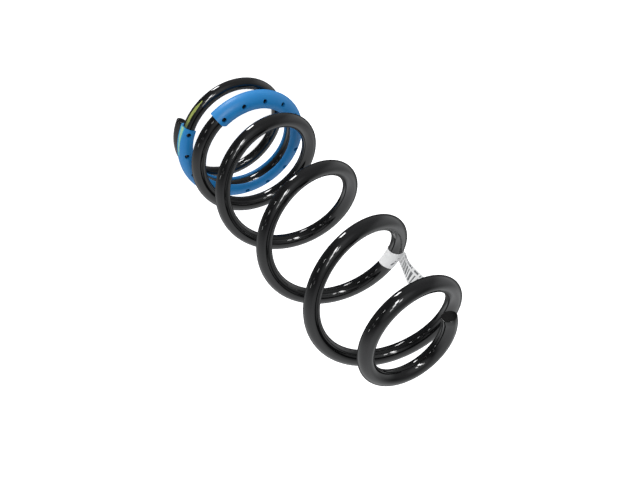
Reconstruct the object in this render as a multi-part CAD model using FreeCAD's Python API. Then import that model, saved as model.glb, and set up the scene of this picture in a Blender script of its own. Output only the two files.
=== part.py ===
import FreeCAD, Part
import math
import os

# Coil spring for a car's suspension, standing upright on its lower end coil.
# All lengths are in millimetres. Z is the spring's axis and z = 0 is the plane the lower end coil sits on.
# "turn" counts turns of the bar upwards from the +X side. The bar climbs anticlockwise seen from above,
# and its lower cut end stands just before turn 0.
#
# The real bar is one piece. It is made here as a lower end coil, quarter turns and an upper end coil, cut on
# vertical planes through the axis, so each piece can move down by its own share as the spring is compressed.

os.makedirs("parts", exist_ok=True)

# the bar
coil_radius = 50.0              # axis to the middle of the bar, in the body of the spring
bar_radius = 6.35               # full bar
bar_tip_radius = 4.55           # the bar is forged thinner towards its lower cut end
taper_end_turn = 2.07           # where the taper reaches the full bar
start_turn = -0.012             # lower cut end
end_turn = 6.606                # middle of the upper cut end
upper_cut_lean = 15.0           # degrees the upper cut face leans from square
upper_cut_long_side = 120.0     # section angle of its longer side, degrees from outwards towards up
upper_cut_allowance = 0.012     # turns of bar made past the middle of that cut before it is cut

# the coil radius is slightly smaller at the lower end, and much smaller at the upper end
lower_tip_coil_radius = 49.0
lower_growth_turns = 1.86
upper_coil_radius = 35.3
narrowing_start_turn = 5.55
narrowing_end_turn = 6.12

# climb of the bar in millimetres per turn, straight lines between these turns
# this first climb keeps the underside of the tapering bar level
flat_climb = (bar_radius - bar_tip_radius) / (taper_end_turn - start_turn)
close_climb_start = 32.1
close_climb_end = 26.4
open_climb_start = 75.8
open_climb_end = 77.6
end_coil_climb = 3.0
climb_profile = (
    (start_turn, flat_climb),
    (0.41, flat_climb),
    (0.607, close_climb_start),
    (2.319, close_climb_end),
    (2.866, open_climb_start),
    (5.419, open_climb_end),
    (6.051, end_coil_climb),
    (end_turn + upper_cut_allowance, end_coil_climb),
)

# where the bar is divided
first_cut_turn = 0.875
piece_turns = 0.25
quarter_count = 20
sections_per_turn = 16

# blue hose clipped over the bar: a C section whose slit faces the axis
hose_start_turn = 0.982
hose_end_turn = 1.904
hose_start_radius = 7.3         # outside of the hose at its lower end, stretched less over the thin bar
hose_full_radius = 8.6          # outside of the hose further on
hose_growth_turns = 0.30
hose_clearance = 0.1            # hose bore over the bar
slit_angle = 100.0              # degrees of the section left open
hole_radius = 2.15
hole_angle = 74.0               # degrees from straight outwards towards straight up
hole_count = 15
first_hole_turn = 0.996
last_hole_turn = 1.889

# paper label wrapped round the bar, with its doubled end standing off the bar as a flag
label_start_turn = 4.482
label_end_turn = 4.541
label_thickness = 0.4
label_clearance = 0.05
flag_start_turn = 4.5065        # the flag's two long edges leave the bar at these turns
flag_end_turn = 4.541
flag_root_angle = 45.0
flag_start_sweep = (3.5, 13.3, 18.0)     # where each edge leads: outwards, back along the coil, up
flag_end_sweep = (0.2, 7.9, 10.7)
flag_end_curl = (7.0, 1.2, 10.3)         # added to the later edge towards the flag's free end
flag_reach = 1.15


def smooth_step(value):
    value = min(max(value, 0.0), 1.0)
    return value * value * (3.0 - 2.0 * value)


def climb_at(turn):
    for (turn_a, climb_a), (turn_b, climb_b) in zip(climb_profile, climb_profile[1:]):
        if turn <= turn_b:
            share = (turn - turn_a) / (turn_b - turn_a)
            return climb_a + (climb_b - climb_a) * share
    return climb_profile[-1][1]


def height_at(turn):
    """Height of the middle of the bar: the climb added up from the lower cut end."""
    height = bar_tip_radius
    for (turn_a, climb_a), (turn_b, climb_b) in zip(climb_profile, climb_profile[1:]):
        reached = min(turn, turn_b)
        if reached <= turn_a:
            break
        share = (reached - turn_a) / (turn_b - turn_a)
        climb_reached = climb_a + (climb_b - climb_a) * share
        height += (climb_a + climb_reached) / 2.0 * (reached - turn_a)
    return height


def coil_radius_at(turn):
    lower_loss = (coil_radius - lower_tip_coil_radius) * (1.0 - smooth_step(turn / lower_growth_turns))
    narrowing = (turn - narrowing_start_turn) / (narrowing_end_turn - narrowing_start_turn)
    upper_loss = (coil_radius - upper_coil_radius) * smooth_step(narrowing)
    return coil_radius - lower_loss - upper_loss


def bar_radius_at(turn):
    share = min((turn - start_turn) / (taper_end_turn - start_turn), 1.0)
    return bar_tip_radius + (bar_radius - bar_tip_radius) * share


def outward_at(turn):
    angle = 2.0 * math.pi * turn
    return FreeCAD.Vector(math.cos(angle), math.sin(angle), 0.0)


def centre_at(turn):
    centre = outward_at(turn) * coil_radius_at(turn)
    centre.z = height_at(turn)
    return centre


def stretch_at(turn):
    """How much taller than wide the sloping bar is where a vertical plane cuts it. Never quite 1."""
    slope = climb_at(turn) / (2.0 * math.pi * coil_radius_at(turn))
    return max(math.sqrt(1.0 + slope * slope), 1.0005)


def section_point(turn, radius, angle):
    """A point on the bar's section at this turn. angle is in degrees, from outwards towards straight up."""
    radians = math.radians(angle)
    point = centre_at(turn) + outward_at(turn) * (radius * math.cos(radians))
    point.z += radius * math.sin(radians) * stretch_at(turn)
    return point


def round_section(turn, radius):
    top = section_point(turn, radius, 90.0)
    side = section_point(turn, radius, 0.0)
    ellipse = Part.Ellipse(top, side, centre_at(turn))
    quarter = math.pi / 2.0
    return Part.Wire([ellipse.toShape(quarter * index, quarter * (index + 1)) for index in range(4)])


def turns_between(start, end):
    steps = max(2, math.ceil((end - start) * sections_per_turn))
    return [start + (end - start) * step / steps for step in range(steps + 1)]


def round_length(start, end, added_radius):
    """A length of round bar, or of anything round that follows the bar."""
    sections = []
    for turn in turns_between(start, end):
        sections.append(round_section(turn, bar_radius_at(turn) + added_radius))
    return Part.makeLoft(sections, True, False)


def upper_end_coil():
    """The last length of bar, with its end cut by a plane that leans a little."""
    coil = round_length(last_cut_turn, end_turn + upper_cut_allowance, 0.0)
    middle = centre_at(end_turn)
    along = centre_at(end_turn + upper_cut_allowance) - centre_at(end_turn - upper_cut_allowance)
    along.normalize()
    long_side = outward_at(end_turn) * math.cos(math.radians(upper_cut_long_side))
    long_side.z = math.sin(math.radians(upper_cut_long_side))
    normal = along - long_side * math.tan(math.radians(upper_cut_lean))
    waste = Part.makeCylinder(3.0 * bar_radius, 2.0 * bar_radius, middle, normal)
    return coil.cut(waste).Solids[0]


def arc_edge(turn, radius, angle_a, angle_b):
    points = []
    steps = 12
    for step in range(steps + 1):
        angle = angle_a + (angle_b - angle_a) * step / steps
        points.append(section_point(turn, radius, angle))
    curve = Part.BSplineCurve()
    curve.interpolate(points)
    return curve.toShape()


def hose_radius_at(turn):
    growth = smooth_step((turn - hose_start_turn) / hose_growth_turns)
    return hose_start_radius + (hose_full_radius - hose_start_radius) * growth


def hose_section(turn):
    """C shape: outer arc, lip, inner arc, lip. The open side faces the axis."""
    lip = 180.0 - slit_angle / 2.0
    outer_radius = hose_radius_at(turn)
    inner_radius = bar_radius_at(turn) + hose_clearance
    outer = arc_edge(turn, outer_radius, -lip, lip)
    upper_lip = Part.makeLine(
        section_point(turn, outer_radius, lip),
        section_point(turn, inner_radius, lip))
    inner = arc_edge(turn, inner_radius, lip, -lip)
    lower_lip = Part.makeLine(
        section_point(turn, inner_radius, -lip),
        section_point(turn, outer_radius, -lip))
    return Part.Wire([outer, upper_lip, inner, lower_lip])


def hose_hole(turn):
    """A round hole through the hose wall, square to it."""
    start = section_point(turn, bar_radius_at(turn) - 0.5, hole_angle)
    end = section_point(turn, hose_radius_at(turn) + 1.0, hole_angle)
    direction = end - start
    return Part.makeCylinder(hole_radius, direction.Length, start, direction)


def noise_sleeve():
    sections = [hose_section(turn) for turn in turns_between(hose_start_turn, hose_end_turn)]
    hose = Part.makeLoft(sections, True, False)
    pitch = (last_hole_turn - first_hole_turn) / (hole_count - 1)
    for index in range(hole_count):
        hose = hose.cut(hose_hole(first_hole_turn + pitch * index))
    return hose.Solids[0]


def swept(sweep, amount):
    """A move in space from a sweep of (outwards, back along the coil, up), in the label's own directions."""
    outward = outward_at((label_start_turn + label_end_turn) / 2.0)
    back = FreeCAD.Vector(outward.y, -outward.x, 0.0)
    rise = FreeCAD.Vector(0.0, 0.0, 1.0)
    return (outward * sweep[0] + back * sweep[1] + rise * sweep[2]) * amount


def flag_section(along):
    """A thin four-sided section across the flag. along is 0 at the bar."""
    root_radius = bar_radius + label_clearance + label_thickness / 2.0
    start_edge = section_point(flag_start_turn, root_radius, flag_root_angle) + swept(flag_start_sweep, along)
    end_edge = section_point(flag_end_turn, root_radius, flag_root_angle) + swept(flag_end_sweep, along)
    end_edge = end_edge + swept(flag_end_curl, along ** 3)
    across = end_edge - start_edge
    square_to_flag = across.cross(swept(flag_start_sweep, 1.0)).normalize() * (label_thickness / 2.0)
    corners = [
        start_edge + square_to_flag,
        end_edge + square_to_flag,
        end_edge - square_to_flag,
        start_edge - square_to_flag,
    ]
    return Part.makePolygon(corners + [corners[0]])


def label_flag():
    """The doubled end of the paper: a thin sheet whose later edge curls outwards."""
    steps = 4
    return Part.makeLoft([flag_section(flag_reach * step / steps) for step in range(steps + 1)], True, False)


def barcode_label():
    band = round_length(label_start_turn, label_end_turn, label_clearance + label_thickness)
    past_end = 0.01
    core = round_length(label_start_turn - past_end, label_end_turn + past_end, label_clearance)
    label = band.fuse(label_flag()).cut(core).removeSplitter()
    return label.Solids[0]


def quarter_name(index):
    """Names count whole turns from 1, and quarters 1 to 4 inside each turn."""
    quarters_before = 4 + index
    turn_number = quarters_before // 4 + 1
    quarter_number = quarters_before % 4 + 1
    return "coil_" + str(turn_number) + "_quarter_" + str(quarter_number)


def save(name, shape):
    shape.exportStep("parts/" + name + ".step")
    box = shape.BoundBox
    heights = (round(box.ZMin, 2), round(box.ZMax, 2))
    print(name, shape.isValid(), len(shape.Solids), round(shape.Volume, 1), heights)


last_cut_turn = first_cut_turn + piece_turns * quarter_count

save("lower_end_coil", round_length(start_turn, first_cut_turn, 0.0))
for quarter in range(quarter_count):
    quarter_start = first_cut_turn + piece_turns * quarter
    save(quarter_name(quarter), round_length(quarter_start, quarter_start + piece_turns, 0.0))
save("upper_end_coil", upper_end_coil())
save("noise_sleeve", noise_sleeve())
save("barcode_label", barcode_label())
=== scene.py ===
import bpy
import math
from mathutils import Matrix, Vector


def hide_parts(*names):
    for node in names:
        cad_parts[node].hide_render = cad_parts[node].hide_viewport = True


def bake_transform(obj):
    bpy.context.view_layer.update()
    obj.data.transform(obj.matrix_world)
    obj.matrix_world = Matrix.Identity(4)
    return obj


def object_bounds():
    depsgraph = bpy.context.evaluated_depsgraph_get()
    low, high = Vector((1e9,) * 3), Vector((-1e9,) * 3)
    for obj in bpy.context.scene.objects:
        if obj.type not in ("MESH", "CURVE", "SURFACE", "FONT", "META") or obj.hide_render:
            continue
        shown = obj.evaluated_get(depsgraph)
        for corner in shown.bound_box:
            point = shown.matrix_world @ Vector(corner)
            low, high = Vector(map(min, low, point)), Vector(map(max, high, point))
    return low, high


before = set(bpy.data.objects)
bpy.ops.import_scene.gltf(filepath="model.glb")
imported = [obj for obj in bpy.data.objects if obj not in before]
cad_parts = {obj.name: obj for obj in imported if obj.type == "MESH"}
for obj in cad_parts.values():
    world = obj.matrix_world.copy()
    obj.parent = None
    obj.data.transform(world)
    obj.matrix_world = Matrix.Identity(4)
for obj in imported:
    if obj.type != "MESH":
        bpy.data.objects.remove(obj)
cad_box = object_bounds()
mm = 0.001

# ----------------------------------------------------------------------------------------------------
# The line of the bar, with the same driving sizes as the CAD model.
# "turn" counts turns of the bar upwards from the +X side, anticlockwise seen from above. The lower cut end
# stands just before turn 0.
# ----------------------------------------------------------------------------------------------------
coil_radius = 50.0 * mm
bar_radius = 6.35 * mm
bar_tip_radius = 4.55 * mm
taper_end_turn = 2.07
start_turn = -0.012
end_turn = 6.606
upper_cut_lean = 15.0
upper_cut_long_side = 120.0
lower_tip_coil_radius = 49.0 * mm
lower_growth_turns = 1.86
upper_coil_radius = 35.3 * mm
narrowing_start_turn = 5.55
narrowing_end_turn = 6.12
flat_climb = (bar_radius - bar_tip_radius) / (taper_end_turn - start_turn)
end_coil_climb = 3.0 * mm
climb_profile = (
    (start_turn, flat_climb),
    (0.41, flat_climb),
    (0.607, 32.1 * mm),
    (2.319, 26.4 * mm),
    (2.866, 75.8 * mm),
    (5.419, 77.6 * mm),
    (6.051, end_coil_climb),
    (end_turn, end_coil_climb),
)

# the hose
hose_start_turn = 0.982
hose_end_turn = 1.904
hose_start_radius = 7.3 * mm
hose_full_radius = 8.6 * mm
hose_growth_turns = 0.30
hose_clearance = 0.1 * mm
slit_angle = 100.0
hole_radius = 2.15 * mm
hole_angle = 74.0
hole_count = 15
first_hole_turn = 0.996
last_hole_turn = 1.889

# the paper label
label_start_turn = 4.482
label_end_turn = 4.541
paper_thickness = 0.22 * mm
flag_start_turn = 4.5065
flag_end_turn = 4.541
flag_root_angle = 45.0
# where each long edge of the flag leads: outwards, back along the coil, up
flag_start_sweep = (3.5 * mm, 13.3 * mm, 18.0 * mm)
flag_end_sweep = (0.2 * mm, 7.9 * mm, 10.7 * mm)
flag_end_curl = (7.0 * mm, 1.2 * mm, 10.3 * mm)
flag_root_slack = (1.4 * mm, 0.4 * mm, 1.5 * mm)     # how far the later corner stands off the bar
flag_reach = 1.15


def smooth_step(value):
    value = min(max(value, 0.0), 1.0)
    return value * value * (3.0 - 2.0 * value)


def climb_at(turn):
    for (turn_a, climb_a), (turn_b, climb_b) in zip(climb_profile, climb_profile[1:]):
        if turn <= turn_b:
            share = (turn - turn_a) / (turn_b - turn_a)
            return climb_a + (climb_b - climb_a) * share
    return climb_profile[-1][1]


def height_at(turn):
    """Height of the middle of the bar: the climb added up from the lower cut end."""
    height = bar_tip_radius
    for (turn_a, climb_a), (turn_b, climb_b) in zip(climb_profile, climb_profile[1:]):
        reached = min(turn, turn_b)
        if reached <= turn_a:
            break
        share = (reached - turn_a) / (turn_b - turn_a)
        climb_reached = climb_a + (climb_b - climb_a) * share
        height += (climb_a + climb_reached) / 2.0 * (reached - turn_a)
    return height


def coil_radius_at(turn):
    lower_loss = (coil_radius - lower_tip_coil_radius) * (1.0 - smooth_step(turn / lower_growth_turns))
    narrowing = (turn - narrowing_start_turn) / (narrowing_end_turn - narrowing_start_turn)
    upper_loss = (coil_radius - upper_coil_radius) * smooth_step(narrowing)
    return coil_radius - lower_loss - upper_loss


def bar_radius_at(turn):
    share = min((turn - start_turn) / (taper_end_turn - start_turn), 1.0)
    return bar_tip_radius + (bar_radius - bar_tip_radius) * share


def outward_at(turn):
    angle = 2.0 * math.pi * turn
    return Vector((math.cos(angle), math.sin(angle), 0.0))


def centre_at(turn):
    centre = outward_at(turn) * coil_radius_at(turn)
    centre.z = height_at(turn)
    return centre


def stretch_at(turn):
    """How much taller than wide the sloping bar is where a vertical plane through the axis cuts it."""
    slope = climb_at(turn) / (2.0 * math.pi * coil_radius_at(turn))
    return math.sqrt(1.0 + slope * slope)


def section_point(turn, radius, angle):
    """A point on the bar's section at this turn. angle is in degrees, from outwards towards straight up."""
    radians = math.radians(angle)
    point = centre_at(turn) + outward_at(turn) * (radius * math.cos(radians))
    point.z += radius * math.sin(radians) * stretch_at(turn)
    return point


def follow_compression(piece):
    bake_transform(piece)


# ----------------------------------------------------------------------------------------------------
# Mesh helpers
# ----------------------------------------------------------------------------------------------------
def make_piece(name, points, faces, corner_uvs, smooth=True):
    """A mesh object from points, faces and one (u, v) for each face corner, in face order."""
    mesh = bpy.data.meshes.new(name)
    mesh.from_pydata([tuple(point) for point in points], [], faces)
    layer = mesh.uv_layers.new(name="place")
    flat = [value for uv in corner_uvs for value in uv]
    layer.data.foreach_set("uv", flat)
    mesh.polygons.foreach_set("use_smooth", [smooth] * len(mesh.polygons))
    mesh.update()
    piece = bpy.data.objects.new(name, mesh)
    bpy.context.scene.collection.objects.link(piece)
    return piece


def skin_of_rings(rings, ring_u, ring_v):
    """Faces and corner uvs for a tube of equal rings of points. ring_v has one value more than a ring."""
    count = len(rings[0])
    faces = []
    corner_uvs = []
    for row in range(len(rings) - 1):
        for column in range(count):
            after = (column + 1) % count
            faces.append((
                row * count + column,
                (row + 1) * count + column,
                (row + 1) * count + after,
                row * count + after))
            corner_uvs.append((ring_u[row], ring_v[column]))
            corner_uvs.append((ring_u[row + 1], ring_v[column]))
            corner_uvs.append((ring_u[row + 1], ring_v[column + 1]))
            corner_uvs.append((ring_u[row], ring_v[column + 1]))
    return faces, corner_uvs


def add_cap(faces, corner_uvs, first, count, u, ring_v, facing_back):
    """Closes one end of a tube with a single face."""
    order = list(range(count))
    if not facing_back:
        order.reverse()
    faces.append(tuple(first + index for index in order))
    for index in order:
        corner_uvs.append((u, ring_v[index]))


# ----------------------------------------------------------------------------------------------------
# The bar
# ----------------------------------------------------------------------------------------------------
bar_rings_per_turn = 90
points_round_bar = 40
edge_round = 0.5 * mm
rounded_end_turns = edge_round / (2.0 * math.pi * upper_coil_radius)


def bar_stations():
    """(turn, radius lost) along the bar. The extra stations at each end round off the cut's edge."""
    tip_turns = edge_round / (2.0 * math.pi * lower_tip_coil_radius)
    stations = [
        (start_turn, edge_round),
        (start_turn + tip_turns * 0.3, edge_round * 0.3),
        (start_turn + tip_turns, 0.0),
    ]
    bar_turns = end_turn - start_turn
    steps = int(bar_turns * bar_rings_per_turn)
    for step in range(1, steps - 1):
        stations.append((start_turn + bar_turns * step / steps, 0.0))
    stations.append((end_turn - rounded_end_turns, 0.0))
    stations.append((end_turn - rounded_end_turns * 0.3, edge_round * 0.3))
    stations.append((end_turn, edge_round))
    return stations


def leaning_cut(turn, point):
    """How far a point on the last rings moves along the bar, so that the upper cut leans."""
    if turn < end_turn - rounded_end_turns:
        return Vector((0.0, 0.0, 0.0))
    middle = centre_at(end_turn)
    along = (middle - centre_at(end_turn - rounded_end_turns)).normalized()
    long_side = outward_at(end_turn) * math.cos(math.radians(upper_cut_long_side))
    long_side.z = math.sin(math.radians(upper_cut_long_side))
    return along * ((point - middle).dot(long_side) * math.tan(math.radians(upper_cut_lean)))


def make_bar():
    stations = bar_stations()
    ring_v = [index / points_round_bar for index in range(points_round_bar + 1)]
    rings = []
    for turn, lost in stations:
        # v runs round the section from the side facing the axis, so the seam of the map is on the inside
        ring = [section_point(turn, bar_radius_at(turn) - lost, 360.0 * v - 180.0) for v in ring_v[:-1]]
        rings.append([point + leaning_cut(turn, point) for point in ring])
    ring_u = [turn for turn, lost in stations]
    faces, corner_uvs = skin_of_rings(rings, ring_u, ring_v)
    last = (len(rings) - 1) * points_round_bar
    add_cap(faces, corner_uvs, 0, points_round_bar, start_turn, ring_v, True)
    add_cap(faces, corner_uvs, last, points_round_bar, end_turn, ring_v, False)
    bar = make_piece("spring_bar", [point for ring in rings for point in ring], faces, corner_uvs)
    bar.data.polygons[len(faces) - 1].use_smooth = False
    bar.data.polygons[len(faces) - 2].use_smooth = False
    bar.data.materials.append(coated_steel())
    bar.data.materials.append(cut_end_coat())
    bar.data.polygons[len(faces) - 1].material_index = 1
    bar.data.polygons[len(faces) - 2].material_index = 1
    follow_compression(bar)
    wire_nodes = [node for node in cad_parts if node.startswith("coil_") or node.endswith("_end_coil")]
    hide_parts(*wire_nodes)
    return bar


# ----------------------------------------------------------------------------------------------------
# The hose
# ----------------------------------------------------------------------------------------------------
hose_rings = 170
hose_points_outside = 48
hose_points_inside = 30
worn_corner_length = 2.6 * mm
worn_corner_start_angle = 85.0
worn_corner_angles = 50.0
worn_corner_fade_turns = 0.03


def hose_radius_at(turn):
    growth = smooth_step((turn - hose_start_turn) / hose_growth_turns)
    return hose_start_radius + (hose_full_radius - hose_start_radius) * growth


def hose_lip_angle(turn):
    """Where the hose's edge stands, in degrees from straight outwards. The slit is never quite straight."""
    waver = 2.2 * math.sin(turn * 17.0) + 1.4 * math.sin(turn * 41.0 + 1.0)
    return 180.0 - slit_angle / 2.0 + waver


def hose_point(turn, radius, angle):
    """A point of the hose. The corner of its upper end at the upper lip is worn back."""
    near_lip = smooth_step((angle - worn_corner_start_angle) / worn_corner_angles)
    near_end = max(0.0, 1.0 - (hose_end_turn - turn) / worn_corner_fade_turns)
    worn_turns = worn_corner_length / (2.0 * math.pi * coil_radius)
    return section_point(turn - worn_turns * near_lip * near_end, radius, angle)


def hose_ring(turn):
    """C-shaped section with rounded lips: outside, over a lip, back inside, over the other lip."""
    lip = hose_lip_angle(turn)
    outer = hose_radius_at(turn)
    inner = bar_radius_at(turn) + hose_clearance
    wall = outer - inner
    lip_reach = math.degrees(wall * 0.28 / outer)
    ring = []
    for index in range(hose_points_outside):
        angle = -lip + 2.0 * lip * index / (hose_points_outside - 1)
        ring.append(hose_point(turn, outer, angle))
    ring.append(hose_point(turn, outer - wall * 0.2, lip + lip_reach * 0.8))
    ring.append(hose_point(turn, outer - wall * 0.5, lip + lip_reach))
    ring.append(hose_point(turn, inner + wall * 0.2, lip + lip_reach * 0.8))
    for index in range(hose_points_inside):
        angle = lip - 2.0 * lip * index / (hose_points_inside - 1)
        ring.append(hose_point(turn, inner, angle))
    ring.append(hose_point(turn, inner + wall * 0.2, -lip - lip_reach * 0.8))
    ring.append(hose_point(turn, outer - wall * 0.5, -lip - lip_reach))
    ring.append(hose_point(turn, outer - wall * 0.2, -lip - lip_reach * 0.8))
    return ring


def hole_cutters():
    """One mesh with a short round rod through the hose wall at each drain hole."""
    points = []
    faces = []
    sides = 20
    pitch = (last_hole_turn - first_hole_turn) / (hole_count - 1)
    for index in range(hole_count):
        turn = first_hole_turn + pitch * index
        start = section_point(turn, bar_radius_at(turn) - 1.0 * mm, hole_angle)
        end = section_point(turn, hose_radius_at(turn) + 1.5 * mm, hole_angle)
        direction = (end - start).normalized()
        across = direction.orthogonal().normalized()
        up = direction.cross(across)
        first = len(points)
        for place in (start, end):
            for side in range(sides):
                angle = 2.0 * math.pi * side / sides
                points.append(place + (across * math.cos(angle) + up * math.sin(angle)) * hole_radius)
        for side in range(sides):
            after = (side + 1) % sides
            faces.append((first + side, first + after, first + sides + after, first + sides + side))
        faces.append(tuple(first + side for side in reversed(range(sides))))
        faces.append(tuple(first + sides + side for side in range(sides)))
    uvs = [(0.0, 0.0) for face in faces for corner in face]
    return make_piece("hole_cutters", points, faces, uvs, smooth=False)


def cut_with(piece, cutter):
    """Cuts the cutter's shape out of the piece for good, and removes the cutter."""
    modifier = piece.modifiers.new("cut", "BOOLEAN")
    modifier.operation = "DIFFERENCE"
    modifier.solver = "EXACT"
    modifier.object = cutter
    graph = bpy.context.evaluated_depsgraph_get()
    finished = bpy.data.meshes.new_from_object(piece.evaluated_get(graph))
    piece.modifiers.remove(modifier)
    piece.data = finished
    bpy.data.objects.remove(cutter)


def make_hose():
    hose_turns = hose_end_turn - hose_start_turn
    turns = [hose_start_turn + hose_turns * row / (hose_rings - 1) for row in range(hose_rings)]
    rings = [hose_ring(turn) for turn in turns]
    count = len(rings[0])
    ring_v = []
    for index in range(count + 1):
        ring_v.append(index / count)
    faces, corner_uvs = skin_of_rings(rings, turns, ring_v)
    add_cap(faces, corner_uvs, 0, count, turns[0], ring_v, True)
    add_cap(faces, corner_uvs, (hose_rings - 1) * count, count, turns[-1], ring_v, False)
    hose = make_piece("noise_sleeve_hose", [point for ring in rings for point in ring], faces, corner_uvs)
    cut_with(hose, hole_cutters())
    hose.data.set_sharp_from_angle(angle=math.radians(38.0))
    hose.data.materials.clear()
    hose.data.materials.append(hose_plastic(count))
    follow_compression(hose)
    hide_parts("noise_sleeve")
    return hose


# ----------------------------------------------------------------------------------------------------
# The paper label
# ----------------------------------------------------------------------------------------------------
band_rings = 15
points_round_band = 48
flag_rows = 40
flag_columns = 12


def make_label_band():
    """The strip wrapped once round the bar: a thin tube with a real thickness."""
    rings = []
    ring_u = []
    inner_gap = 0.06 * mm
    for side in (0, 1):
        rows = range(band_rings) if side == 0 else reversed(range(band_rings))
        for row in rows:
            u = row / (band_rings - 1)
            turn = label_start_turn + (label_end_turn - label_start_turn) * u
            gap = inner_gap + (paper_thickness if side == 0 else 0.0)
            ring = []
            for index in range(points_round_band):
                angle = 360.0 * index / points_round_band - 180.0
                slack = 0.07 * mm * (1.0 + math.sin(math.radians(angle * 3.0) + u * 2.0))
                ring.append(section_point(turn, bar_radius_at(turn) + gap + slack, angle))
            rings.append(ring)
            ring_u.append(u)
    ring_v = [index / points_round_band for index in range(points_round_band + 1)]
    faces, corner_uvs = skin_of_rings(rings, ring_u, ring_v)
    count = points_round_band
    last = (len(rings) - 1) * count
    for index in range(count):
        after = (index + 1) % count
        faces.append((last + index, index, after, last + after))
        corner_uvs += [(0.0, ring_v[index])] * 4
    band = make_piece("label_band", [point for ring in rings for point in ring], faces, corner_uvs)
    band.data.set_sharp_from_angle(angle=math.radians(40.0))
    band.data.materials.append(paper("label_band_paper", band_print))
    turns = []
    for u in ring_u:
        turns += [label_start_turn + (label_end_turn - label_start_turn) * u] * count
    follow_compression(band)
    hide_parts("barcode_label")
    return band


def swept(sweep, amount):
    """A move in space from a sweep of (outwards, back along the coil, up) at the label."""
    outward = outward_at((label_start_turn + label_end_turn) / 2.0)
    back = Vector((outward.y, -outward.x, 0.0))
    rise = Vector((0.0, 0.0, 1.0))
    return (outward * sweep[0] + back * sweep[1] + rise * sweep[2]) * amount


def flag_turn(across):
    return flag_start_turn + (flag_end_turn - flag_start_turn) * across


def flag_point(along, across):
    """A point on the middle of the flag. along is 0 at the bar, across is 0 to 1 over the flag's width."""
    length = along * flag_reach
    root = section_point(flag_turn(across), bar_radius + paper_thickness * 1.5, flag_root_angle)
    start_move = swept(flag_start_sweep, length)
    end_move = swept(flag_end_sweep, length) + swept(flag_end_curl, length ** 3)
    bow = swept((0.0, 0.9 * mm, -0.9 * mm), math.sin(math.pi * across) * length)
    slack = swept(flag_root_slack, across * smooth_step(along / 0.10) * (1.0 - along) ** 2)
    return root + start_move * (1.0 - across) + end_move * across + bow + slack


def make_label_flag():
    """The doubled end of the strip, a thin curved sheet with a front, a back and edges."""
    width = flag_columns + 1
    middles = []
    for row in range(flag_rows + 1):
        middles.append([flag_point(row / flag_rows, column / flag_columns) for column in range(width)])
    count = (flag_rows + 1) * width
    points = []
    for side in (0.5, -0.5):
        for row in range(flag_rows + 1):
            for column in range(width):
                up = middles[min(row + 1, flag_rows)][column] - middles[max(row - 1, 0)][column]
                over = middles[row][min(column + 1, flag_columns)] - middles[row][max(column - 1, 0)]
                normal = up.cross(over).normalized()
                points.append(middles[row][column] + normal * (side * 2.0 * paper_thickness))
    faces = []
    corner_uvs = []
    for row in range(flag_rows):
        for column in range(flag_columns):
            corners = ((row, column), (row, column + 1), (row + 1, column + 1), (row + 1, column))
            front = tuple(r * width + c for r, c in corners)
            faces.append(front)
            corner_uvs += [(c / flag_columns, r / flag_rows) for r, c in corners]
            faces.append(tuple(count + r * width + c for r, c in reversed(corners)))
            corner_uvs += [(c / flag_columns, r / flag_rows) for r, c in reversed(corners)]
    border = [(0, column) for column in range(flag_columns)]
    border += [(row, flag_columns) for row in range(flag_rows)]
    border += [(flag_rows, column) for column in range(flag_columns, 0, -1)]
    border += [(row, 0) for row in range(flag_rows, 0, -1)]
    for index, (row, column) in enumerate(border):
        next_row, next_column = border[(index + 1) % len(border)]
        here = row * width + column
        after = next_row * width + next_column
        faces.append((after, here, count + here, count + after))
        corner_uvs += [(0.0, 0.0)] * 4
    flag = make_piece("label_flag", points, faces, corner_uvs)
    flag.data.set_sharp_from_angle(angle=math.radians(40.0))
    flag.data.materials.append(paper("label_flag_paper", flag_print))
    follow_compression(flag)
    return flag


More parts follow.
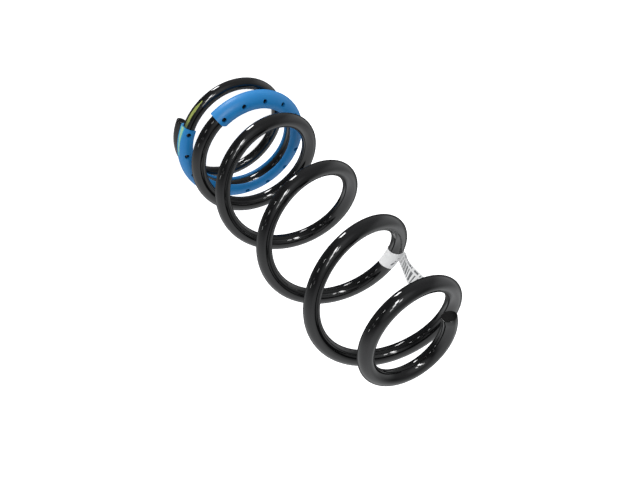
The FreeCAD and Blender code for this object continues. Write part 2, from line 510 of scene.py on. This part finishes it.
# ----------------------------------------------------------------------------------------------------
# Materials
# ----------------------------------------------------------------------------------------------------
class Shader:
    """A material's node tree, with short calls for the nodes used here."""

    def __init__(self, name):
        self.material = bpy.data.materials.new(name)
        self.material.use_nodes = True
        self.nodes = self.material.node_tree.nodes
        self.links = self.material.node_tree.links
        self.surface = self.nodes["Principled BSDF"]

    def join(self, source, socket):
        """Links an output to a socket, or sets the socket when source is a plain value."""
        if isinstance(source, bpy.types.NodeSocket):
            self.links.new(source, socket)
        else:
            socket.default_value = source

    def set(self, **values):
        """Inputs of the surface by name, with _ for each space."""
        for name, value in values.items():
            self.join(value, self.surface.inputs[name.replace("_", " ")])

    def math(self, operation, first, second=0.0):
        node = self.nodes.new("ShaderNodeMath")
        node.operation = operation
        self.join(first, node.inputs[0])
        self.join(second, node.inputs[1])
        return node.outputs[0]

    def step(self, value, low, high, out_low=0.0, out_high=1.0):
        """Smooth change from out_low to out_high as value goes from low to high."""
        node = self.nodes.new("ShaderNodeMapRange")
        node.interpolation_type = "SMOOTHSTEP"
        self.join(value, node.inputs["Value"])
        self.join(low, node.inputs["From Min"])
        self.join(high, node.inputs["From Max"])
        self.join(out_low, node.inputs["To Min"])
        self.join(out_high, node.inputs["To Max"])
        return node.outputs["Result"]

    def noise(self, size, detail=3.0, roughness=0.5, stretch=(1.0, 1.0, 1.0)):
        """Noise in the piece's own space, with features about size across."""
        place = self.nodes.new("ShaderNodeTexCoord")
        scale = self.nodes.new("ShaderNodeMapping")
        scale.inputs["Scale"].default_value = stretch
        node = self.nodes.new("ShaderNodeTexNoise")
        node.inputs["Scale"].default_value = 1.0 / size
        node.inputs["Detail"].default_value = detail
        node.inputs["Roughness"].default_value = roughness
        self.links.new(place.outputs["Object"], scale.inputs["Vector"])
        self.links.new(scale.outputs["Vector"], node.inputs["Vector"])
        return node.outputs["Fac"]

    def place_uv(self):
        """The two parts of the piece's map."""
        node = self.nodes.new("ShaderNodeUVMap")
        node.uv_map = "place"
        split = self.nodes.new("ShaderNodeSeparateXYZ")
        self.links.new(node.outputs["UV"], split.inputs["Vector"])
        return split.outputs["X"], split.outputs["Y"]

    def mix(self, share, first, second):
        """A colour between first and second."""
        node = self.nodes.new("ShaderNodeMix")
        node.data_type = "RGBA"
        self.join(share, node.inputs["Factor"])
        self.join(first, node.inputs["A"])
        self.join(second, node.inputs["B"])
        return node.outputs["Result"]

    def bump(self, height, depth, under=None):
        """Adds a bump depth deep to the surface, on top of the bump under it."""
        node = self.nodes.new("ShaderNodeBump")
        node.inputs["Distance"].default_value = depth
        self.join(height, node.inputs["Height"])
        if under is not None:
            self.links.new(under, node.inputs["Normal"])
        self.links.new(node.outputs["Normal"], self.surface.inputs["Normal"])
        return node.outputs["Normal"]

    def band(self, value, low, high, blur):
        """1 between low and high, 0 outside, soft over blur."""
        rise = self.step(value, low - blur, low + blur)
        fall = self.step(value, high - blur, high + blur, 1.0, 0.0)
        return self.math("MULTIPLY", rise, fall)


def colour(red, green, blue):
    return (red, green, blue, 1.0)


def paint_dab(shader, turn, around, start_turn, end_turn, angle, width, radius, taper=0.0):
    """Mask of a brushed dab of paint along the bar between two turns, at angle round the section.
    It starts pointed, and taper thins it towards its end turn."""
    edge_wander = 0.030
    pointed_turns = 0.03
    ragged = shader.noise(1.3 * mm, 4.0, 0.6)
    drift = shader.math("MULTIPLY", shader.math("SUBTRACT", ragged, 0.5), edge_wander)
    from_line = shader.math("ABSOLUTE", shader.math("SUBTRACT", around, (angle + 180.0) / 360.0))
    from_line = shader.math("ADD", from_line, drift)
    half = width / 2.0 / (2.0 * math.pi * radius)
    along = shader.step(turn, start_turn, end_turn, 1.0, 1.0 - taper)
    pointed = shader.step(turn, start_turn, start_turn + pointed_turns, 0.35, 1.0)
    along = shader.math("MULTIPLY", along, pointed)
    inside = shader.math("LESS_THAN", from_line, shader.math("MULTIPLY", along, half))
    ragged_turn = shader.math("ADD", turn, shader.math("MULTIPLY", drift, 0.25))
    return shader.math("MULTIPLY", inside, shader.band(ragged_turn, start_turn, end_turn, 0.0015))


def coated_steel():
    """Gloss black powder coat with a faint orange peel, a few dull scuffs and a brushed paint dab."""
    shader = Shader("gloss_black_powder_coat")
    turn, around = shader.place_uv()
    blotches = shader.noise(22.0 * mm, 3.0)
    scuffs = shader.step(shader.noise(5.0 * mm, 6.0, 0.7), 0.66, 0.74)
    dust = shader.step(shader.noise(0.8 * mm, 2.0), 0.70, 0.78)
    black = shader.mix(blotches, colour(0.0015, 0.0015, 0.0017), colour(0.0030, 0.0030, 0.0033))
    black = shader.mix(shader.math("MULTIPLY", dust, 0.04), black, colour(0.10, 0.10, 0.10))
    dab = paint_dab(shader, turn, around, 0.900, 0.990, 21.0, 2.6 * mm, 5.4 * mm)
    brush = shader.noise(0.5 * mm, 4.0, 0.7, (1.0, 1.0, 0.3))
    yellow = shader.mix(brush, colour(0.17, 0.20, 0.030), colour(0.29, 0.34, 0.075))
    near_hose = shader.step(turn, 0.950, 0.982)
    yellow = shader.mix(near_hose, yellow, colour(0.08, 0.10, 0.030))
    shader.set(Base_Color=shader.mix(shader.math("MULTIPLY", dab, 0.94), black, yellow))
    gloss = shader.step(blotches, 0.3, 0.7, 0.055, 0.09)
    gloss = shader.math("ADD", gloss, shader.math("MULTIPLY", scuffs, 0.10))
    shader.set(Roughness=shader.math("ADD", gloss, shader.math("MULTIPLY", dab, 0.30)))
    shader.set(IOR=1.5)
    peel = shader.bump(shader.noise(2.6 * mm, 2.0, 0.4), 0.012 * mm)
    peel = shader.bump(shader.noise(9.0 * mm, 1.0), 0.05 * mm, peel)
    shader.bump(dab, 0.06 * mm, peel)
    return shader.material


def cut_end_coat():
    """The cut faces: the same black coat lying thin and dull over saw marks."""
    shader = Shader("black_coat_on_cut_face")
    marks = shader.noise(0.45 * mm, 3.0, 0.5, (6.0, 6.0, 0.6))
    grain = shader.noise(1.2 * mm, 5.0, 0.7)
    shader.set(Base_Color=shader.mix(grain, colour(0.0015, 0.0015, 0.0015), colour(0.004, 0.004, 0.004)))
    shader.set(Specular_IOR_Level=0.10)
    shader.set(Roughness=shader.step(grain, 0.3, 0.7, 0.42, 0.62))
    under = shader.bump(marks, 0.05 * mm)
    shader.bump(grain, 0.04 * mm, under)
    return shader.material


def hose_plastic(points_in_section):
    """Satin blue extruded plastic: faint draw lines, cloudy colour, scuffs, and a pale smear of paint."""
    shader = Shader("satin_blue_hose")
    turn, around = shader.place_uv()
    cloud = shader.noise(14.0 * mm, 4.0, 0.55)
    blue = shader.mix(cloud, colour(0.0040, 0.138, 0.365), colour(0.0070, 0.175, 0.440))
    fine = shader.noise(1.1 * mm, 4.0, 0.6)
    worn = shader.step(fine, 0.62, 0.74)
    blue = shader.mix(shader.math("MULTIPLY", worn, 0.08), blue, colour(0.07, 0.28, 0.55))
    # the map runs once round the whole C section, and the outer side is its first part
    outside_share = (hose_points_outside - 1) / points_in_section
    lip = 180.0 - slit_angle / 2.0
    angle_share = shader.math("DIVIDE", around, outside_share)
    angle = shader.math("MULTIPLY", angle_share, 2.0 * lip / 360.0)
    angle = shader.math("ADD", angle, (180.0 - lip) / 360.0)
    wash = paint_dab(shader, turn, angle, 0.950, 1.062, 9.0, 6.5 * mm, hose_start_radius, 0.7)
    blue = shader.mix(shader.math("MULTIPLY", wash, 0.80), blue, colour(0.06, 0.38, 0.34))
    dab = paint_dab(shader, turn, angle, 0.950, 1.050, 12.0, 3.6 * mm, hose_start_radius, 0.75)
    blue = shader.mix(shader.math("MULTIPLY", dab, 0.75), blue, colour(0.30, 0.42, 0.24))
    shader.set(Base_Color=blue)
    shader.set(Roughness=shader.step(fine, 0.3, 0.7, 0.38, 0.50))
    shader.set(IOR=1.43)
    drawn = shader.nodes.new("ShaderNodeTexNoise")
    drawn.noise_dimensions = "1D"
    drawn.inputs["Scale"].default_value = 120.0
    shader.links.new(around, drawn.inputs["W"])
    lines = shader.bump(drawn.outputs["Fac"], 0.025 * mm)
    shader.bump(shader.noise(3.5 * mm, 3.0), 0.05 * mm, lines)
    return shader.material


def paper(name, print_mask):
    """White label paper with generic print. print_mask makes the mask of the ink."""
    shader = Shader(name)
    across, along = shader.place_uv()
    fibre = shader.noise(0.25 * mm, 5.0, 0.7)
    cloud = shader.noise(6.0 * mm, 2.0)
    white = shader.mix(fibre, colour(0.64, 0.64, 0.64), colour(0.72, 0.72, 0.72))
    white = shader.mix(shader.math("MULTIPLY", cloud, 0.15), white, colour(0.60, 0.61, 0.62))
    worn = shader.step(shader.noise(0.7 * mm, 3.0), 0.25, 0.5, 0.60, 0.97)
    ink = shader.math("MULTIPLY", print_mask(shader, across, along), worn)
    shader.set(Base_Color=shader.mix(ink, white, colour(0.07, 0.075, 0.08)))
    shader.set(Roughness=0.55)
    under = shader.bump(fibre, 0.004 * mm)
    shader.bump(cloud, 0.06 * mm, under)
    return shader.material


def broken(shader, value, pieces, seed, gap):
    """A mask that switches on and off unevenly as value goes from 0 to 1, with about gap of it off."""
    uneven = shader.nodes.new("ShaderNodeTexWhiteNoise")
    uneven.noise_dimensions = "1D"
    cell = shader.math("FLOOR", shader.math("MULTIPLY", value, pieces))
    shader.links.new(shader.math("ADD", cell, seed), uneven.inputs["W"])
    return shader.math("GREATER_THAN", uneven.outputs["Value"], gap)


def flag_print(shader, across, along):
    """Small marks near the fold, a block of fine bars, broad bars after it, and ticks beside them."""
    broad_bars = ((0.47, 0.53), (0.575, 0.61), (0.66, 0.735), (0.79, 0.82), (0.87, 0.93))
    marks = broken(shader, across, 17.0, 40.0, 0.45)
    marks = shader.math("MULTIPLY", marks, shader.band(along, 0.08, 0.13, 0.008))
    marks = shader.math("MULTIPLY", marks, shader.band(across, 0.15, 0.95, 0.01))
    bars = broken(shader, along, 110.0, 7.0, 0.32)
    bars = shader.math("MULTIPLY", bars, shader.band(along, 0.22, 0.43, 0.003))
    for low, high in broad_bars:
        bars = shader.math("MAXIMUM", bars, shader.band(along, low, high, 0.004))
    bars = shader.math("MULTIPLY", bars, shader.band(across, 0.12, 0.72, 0.01))
    ticks = broken(shader, along, 58.0, 300.0, 0.30)
    ticks = shader.math("MULTIPLY", ticks, shader.band(along, 0.16, 0.95, 0.01))
    ticks = shader.math("MULTIPLY", ticks, shader.band(across, 0.84, 0.95, 0.01))
    return shader.math("MAXIMUM", shader.math("MAXIMUM", bars, ticks), marks)


def band_print(shader, across, along):
    """One slanting row of small marks on the upper side of the band."""
    row = shader.math("SUBTRACT", 0.837, shader.math("MULTIPLY", across, 0.149))
    from_row = shader.math("ABSOLUTE", shader.math("SUBTRACT", along, row))
    marks = shader.math("LESS_THAN", from_row, 0.022)
    marks = shader.math("MULTIPLY", marks, shader.band(across, 0.22, 0.72, 0.01))
    return shader.math("MULTIPLY", marks, broken(shader, across, 17.0, 11.0, 0.35))


def floor_surface():
    """Plain white studio sweep."""
    shader = Shader("white_studio_floor")
    soft = shader.noise(0.6, 2.0)
    shader.set(Base_Color=shader.mix(soft, colour(0.86, 0.86, 0.86), colour(0.88, 0.88, 0.88)))
    shader.set(Roughness=0.9)
    shader.set(Emission_Color=colour(1.0, 1.0, 1.0))
    shader.set(Emission_Strength=floor_glow)
    return shader.material


# ----------------------------------------------------------------------------------------------------
# Studio: floor, surroundings, lamps and camera
# ----------------------------------------------------------------------------------------------------
view_azimuth = 141.0
view_drop = 40.4
floor_glow = 0.8
lamp_distance = 1.1
floor_gap = 0.05 * mm


def direction_of(azimuth, elevation):
    """Unit direction, azimuth in degrees anticlockwise from +X, elevation above the floor."""
    around = math.radians(azimuth)
    above = math.radians(elevation)
    return Vector((math.cos(around) * math.cos(above), math.sin(around) * math.cos(above), math.sin(above)))


def make_floor():
    """A wide disc under the spring. Reflections look past it to the studio round it."""
    reach = 30.0
    sides = 64
    points = [Vector((0.0, 0.0, 0.0))]
    for side in range(sides):
        points.append(direction_of(360.0 * side / sides, 0.0) * reach)
    faces = [(0, side + 1, (side + 1) % sides + 1) for side in range(sides)]
    floor = make_piece("studio_floor", points, faces, [(0.0, 0.0)] * (3 * sides), smooth=False)
    floor.location.z = cad_box[0].z - floor_gap
    floor.data.materials.append(floor_surface())
    floor.visible_glossy = False
    floor.visible_shadow = False


def join_math(nodes, links, operation, first, second):
    """A math node on two values, each an output of another node or a plain number."""
    node = nodes.new("ShaderNodeMath")
    node.operation = operation
    for value, socket in zip((first, second), node.inputs):
        if isinstance(value, bpy.types.NodeSocket):
            links.new(value, socket)
        else:
            socket.default_value = value
    return node.outputs[0]


def add_glow(nodes, links, direction, azimuth, elevation, inner, outer, strength):
    """Full strength within inner degrees of one direction, fading to none at outer degrees."""
    dot = nodes.new("ShaderNodeVectorMath")
    dot.operation = "DOT_PRODUCT"
    links.new(direction, dot.inputs[0])
    dot.inputs[1].default_value = direction_of(azimuth, elevation)
    fade = nodes.new("ShaderNodeMapRange")
    fade.interpolation_type = "SMOOTHSTEP"
    links.new(dot.outputs["Value"], fade.inputs["Value"])
    fade.inputs["From Min"].default_value = math.cos(math.radians(outer))
    fade.inputs["From Max"].default_value = math.cos(math.radians(inner))
    fade.inputs["To Max"].default_value = strength
    return fade.outputs["Result"]


def make_surroundings():
    """A dim studio, brighter behind the spring, and dark where glancing reflections would look.
    The camera itself sees plain white."""
    # azimuth, elevation, inner, outer, strength
    glows = (
        (88.0, 12.0, 30.0, 90.0, 1.05),
        (-175.0, 0.0, 20.0, 50.0, 0.55),
        (-110.0, 0.0, 30.0, 80.0, 0.28),
        (0.0, 90.0, 10.0, 45.0, 0.25),
        (-60.0, 42.0, 10.0, 40.0, 0.50),
    )
    dark_patch = (view_azimuth, -view_drop, 30.0, 52.0, 0.85)
    dim_level = 0.13
    white_level = 1.05
    world = bpy.data.worlds.new("studio")
    bpy.context.scene.world = world
    world.use_nodes = True
    nodes = world.node_tree.nodes
    links = world.node_tree.links
    direction = nodes.new("ShaderNodeTexCoord").outputs["Generated"]
    light = dim_level
    for glow in glows:
        light = join_math(nodes, links, "ADD", add_glow(nodes, links, direction, *glow), light)
    kept = join_math(nodes, links, "SUBTRACT", 1.0, add_glow(nodes, links, direction, *dark_patch))
    light = join_math(nodes, links, "MULTIPLY", light, kept)
    seen = nodes.new("ShaderNodeMix")
    links.new(nodes.new("ShaderNodeLightPath").outputs["Is Camera Ray"], seen.inputs["Factor"])
    links.new(light, seen.inputs["A"])
    seen.inputs["B"].default_value = white_level
    background = nodes["Background"]
    background.inputs["Color"].default_value = colour(0.97, 0.985, 1.0)
    links.new(seen.outputs["Result"], background.inputs["Strength"])


def add_lamp(name, azimuth, elevation, wide, high, brightness):
    """A soft box seen from the middle of the spring in this direction, wide by high degrees across.
    brightness is how bright its face is, with white paper in full light as about 1."""
    middle = (cad_box[0] + cad_box[1]) / 2.0
    toward = direction_of(azimuth, elevation)
    width = 2.0 * lamp_distance * math.tan(math.radians(wide / 2.0))
    height = 2.0 * lamp_distance * math.tan(math.radians(high / 2.0))
    data = bpy.data.lights.new(name, "AREA")
    data.shape = "RECTANGLE"
    data.size = width
    data.size_y = height
    data.energy = brightness * math.pi * width * height
    lamp = bpy.data.objects.new(name, data)
    lamp.location = middle + toward * lamp_distance
    lamp.rotation_mode = "QUATERNION"
    lamp.rotation_quaternion = toward.to_track_quat("Z", "Y")
    lamp.visible_camera = False
    bpy.context.scene.collection.objects.link(lamp)


def make_lamps():
    """Soft boxes for the long highlights, and a row of small lamps for the dashes beside them."""
    # azimuth, elevation, wide, high, brightness
    lamps = (
        ("soft_box_main", -57.0, 28.0, 7.0, 16.0, 27.0),
        ("soft_box_upper", -52.0, 41.0, 6.0, 12.0, 19.0),
        ("soft_box_top", -46.0, 52.0, 5.0, 10.0, 8.0),
        ("soft_box_side", -68.0, 42.0, 5.0, 12.0, 13.0),
        ("soft_box_low", -67.0, -52.0, 8.0, 19.0, 26.0),
        ("row_lamp_1", -29.0, 1.0, 5.0, 4.0, 14.0),
        ("row_lamp_2", -13.0, -2.0, 5.0, 4.0, 11.0),
        ("row_lamp_3", 11.0, -7.0, 5.0, 4.0, 9.0),
        ("row_lamp_4", -1.0, -2.0, 3.0, 3.0, 3.0),
        ("row_lamp_5", -2.0, 20.0, 4.0, 3.0, 3.0),
    )
    for lamp in lamps:
        add_lamp(*lamp)


def make_camera():
    """The viewing angle, rolled so that the spring lies across the frame."""
    roll = 140.1
    lens = 57.53
    place = Vector((9.776, -7.864, 14.286)) * coil_radius
    view = direction_of(view_azimuth, -view_drop)
    level_right = view.cross(Vector((0.0, 0.0, 1.0))).normalized()
    level_up = level_right.cross(view)
    turn = math.radians(roll)
    right = level_right * math.cos(turn) + level_up * math.sin(turn)
    up = level_up * math.cos(turn) - level_right * math.sin(turn)
    data = bpy.data.cameras.new("photo_camera")
    data.lens = lens
    data.sensor_width = 36.0
    data.clip_start = 0.01
    data.clip_end = 100.0
    camera = bpy.data.objects.new("photo_camera", data)
    bpy.context.scene.collection.objects.link(camera)
    turned = Matrix((right, up, -view)).transposed().to_4x4()
    camera.matrix_world = Matrix.Translation(place) @ turned
    bpy.context.scene.camera = camera


make_bar()
make_hose()
make_label_band()
make_label_flag()
make_floor()
make_surroundings()
make_lamps()
make_camera()
bpy.context.scene.view_settings.view_transform = "Standard"
